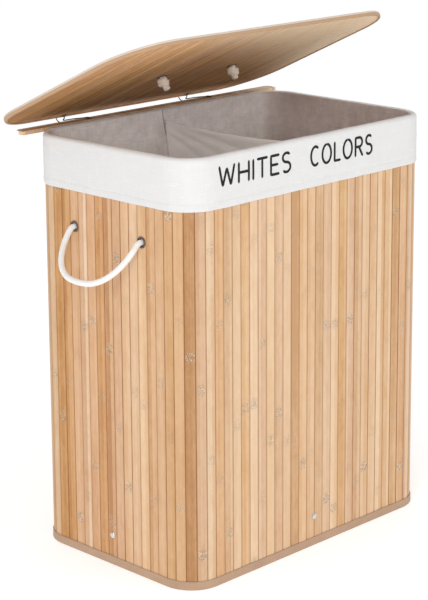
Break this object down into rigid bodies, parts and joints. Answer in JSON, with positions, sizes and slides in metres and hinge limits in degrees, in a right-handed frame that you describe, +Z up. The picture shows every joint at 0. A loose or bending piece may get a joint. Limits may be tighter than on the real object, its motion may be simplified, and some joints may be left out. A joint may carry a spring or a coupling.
{
  "type": "laundry hamper",
  "caption": "Lidded laundry hamper of upright bamboo slats with a divided cloth liner, cloth rim cuff, rope handles and a slatted lid on cord ties.",
  "frame": {"origin": "on the floor, under the centre of the bounding box with the lid at its rest opening", "axes": "+Z up, front of the hamper faces -Y, long side along X"},
  "size_m": [0.6412, 0.3842, 0.7911],
  "materials": {
    "bamboo": "smooth natural bamboo",
    "bamboo_brown": "brown carbonised bamboo",
    "bamboo_lid": "carbonised bamboo, satin",
    "cloth_white": "matt woven",
    "cloth_liner": "matt woven",
    "cloth_divider": "matt woven",
    "tape_tan": "woven tape",
    "tape_cream": "woven tape",
    "cotton": "twisted cotton rope",
    "board_brown": "raw fibreboard",
    "steel_dark": "dark bronze plate",
    "steel": "bright",
    "elastic": "matt"
  },
  "bodies": {
    "hamper": {"front_slat_panel": "bamboo", "front_base_batten": "board_brown", "front_base_screw": "steel", "rear_slat_panel": "bamboo", "rear_base_batten": "board_brown", "rear_base_screw": "steel", "left_slat_panel": "bamboo", "left_base_batten": "board_brown", "left_base_screw": "steel", "right_slat_panel": "bamboo", "right_base_batten": "board_brown", "right_base_screw": "steel", "corner_slats_front_left": "bamboo", "corner_slats_front_right": "bamboo", "corner_slats_rear_left": "bamboo", "corner_slats_rear_right": "bamboo", "canvas_backing": "cloth_liner", "rim_hoop": "bamboo_brown", "bottom_binding": "tape_tan", "cuff": "cloth_white", "base_board": "board_brown", "liner_bag": "cloth_liner", "divider": "cloth_divider", "hinge_rail": "bamboo_brown", "rail_screw_left": "steel", "rail_screw_middle": "steel", "rail_screw_right": "steel", "left_rail_eyelet": "steel_dark", "left_front_eyelet": "steel_dark", "left_front_knot": "cotton", "left_rear_eyelet": "steel_dark", "left_rear_knot": "cotton", "right_rail_eyelet": "steel_dark", "right_front_eyelet": "steel_dark", "right_front_knot": "cotton", "right_rear_eyelet": "steel_dark", "right_rear_knot": "cotton"},
    "lid_ties": {"left_tie_loop": "elastic", "right_tie_loop": "elastic"},
    "lid": {"lid_panel": "bamboo_lid", "lid_binding": "tape_cream", "left_lid_tie_eyelet": "steel_dark", "right_lid_tie_eyelet": "steel_dark", "left_lid_grip_eyelet": "steel_dark", "right_lid_grip_eyelet": "steel_dark", "left_lid_knot": "cotton", "right_lid_knot": "cotton", "lid_handle_rope": "cotton"},
    "left_handle": {"left_handle_rope": "cotton"},
    "right_handle": {"right_handle_rope": "cotton"}
  },
  "joints": [
    {"name": "lid_shift", "type": "slide", "parent": "hamper", "child": "lid_ties", "axis": [0.9257, -0.3783, 0], "range_m": [0, 0.03965], "deforming": ["left_tie_loop", "right_tie_loop"]},
    {"name": "lid_hinge", "type": "hinge", "parent": "lid_ties", "child": "lid", "pos_m": [-0.0367, 0.1805, 0.6357], "axis": [-1, 0, 0], "range_deg": [-25, 220]},
    {"name": "left_handle_swing", "type": "hinge", "parent": "hamper", "child": "left_handle", "pos_m": [-0.2662, -0.025, 0.502], "axis": [0, 1, 0], "range_deg": [-37, 130]},
    {"name": "right_handle_swing", "type": "hinge", "parent": "hamper", "child": "right_handle", "pos_m": [0.2662, -0.025, 0.502], "axis": [0, -1, 0], "range_deg": [-37, 130]}
  ]
}
